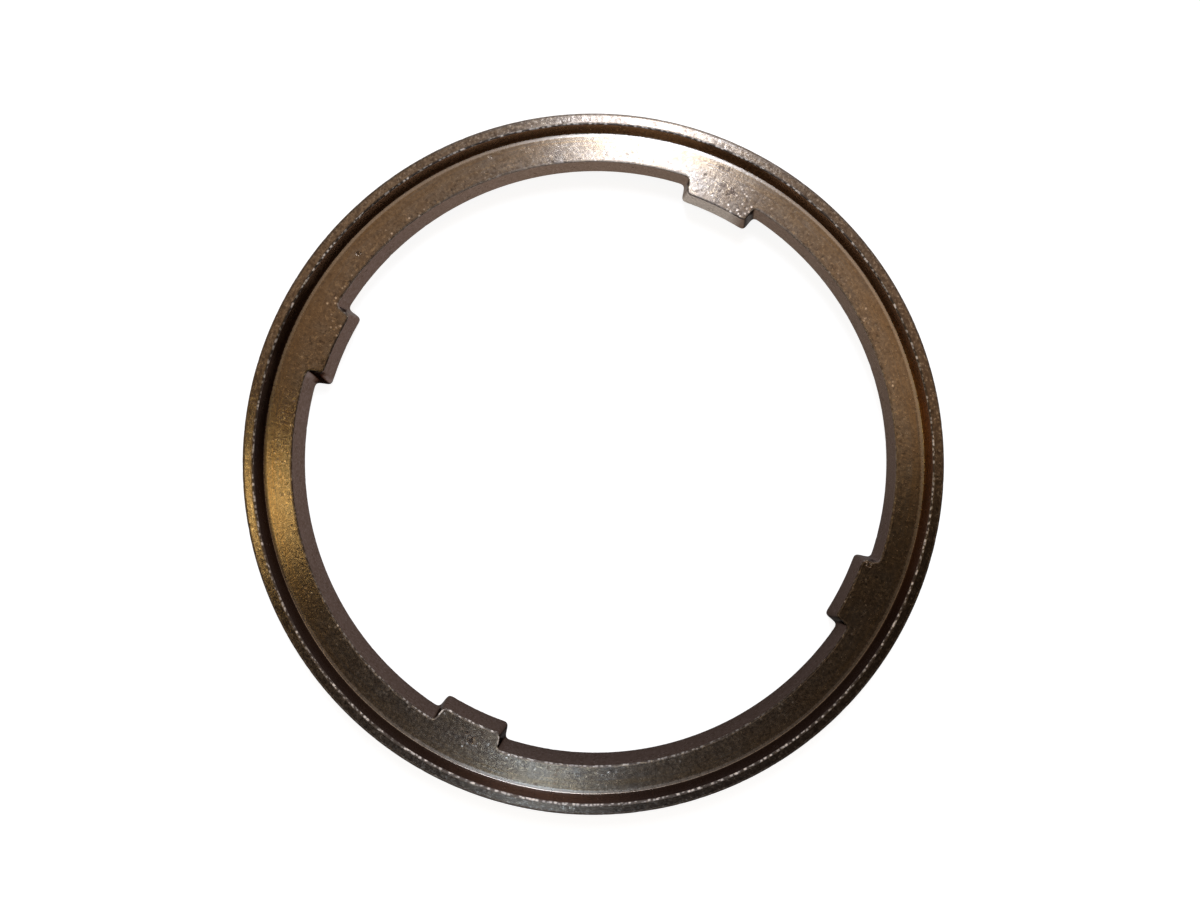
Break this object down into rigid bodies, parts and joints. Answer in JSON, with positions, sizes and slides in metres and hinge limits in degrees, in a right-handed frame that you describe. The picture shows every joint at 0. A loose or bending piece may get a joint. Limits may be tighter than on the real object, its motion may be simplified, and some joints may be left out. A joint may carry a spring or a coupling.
{
  "type": "synchronizer ring",
  "caption": "Gearbox synchronizer ring in turned steel: a standing rim on one side, a friction cone outside and sloped driving lugs in the bore.",
  "frame": {"origin": "centre of the ring on its base plane", "axes": "+Z along the ring's axis, towards the side with the standing rim; a lug lies on +X and the lugs repeat each quarter turn"},
  "size_m": [0.1, 0.1, 0.0095],
  "materials": {
    "ring_steel": "turned steel with a brown film, lightly pitted"
  },
  "bodies": {
    "root": {"synchronizer_ring": "ring_steel"}
  },
  "joints": []
}
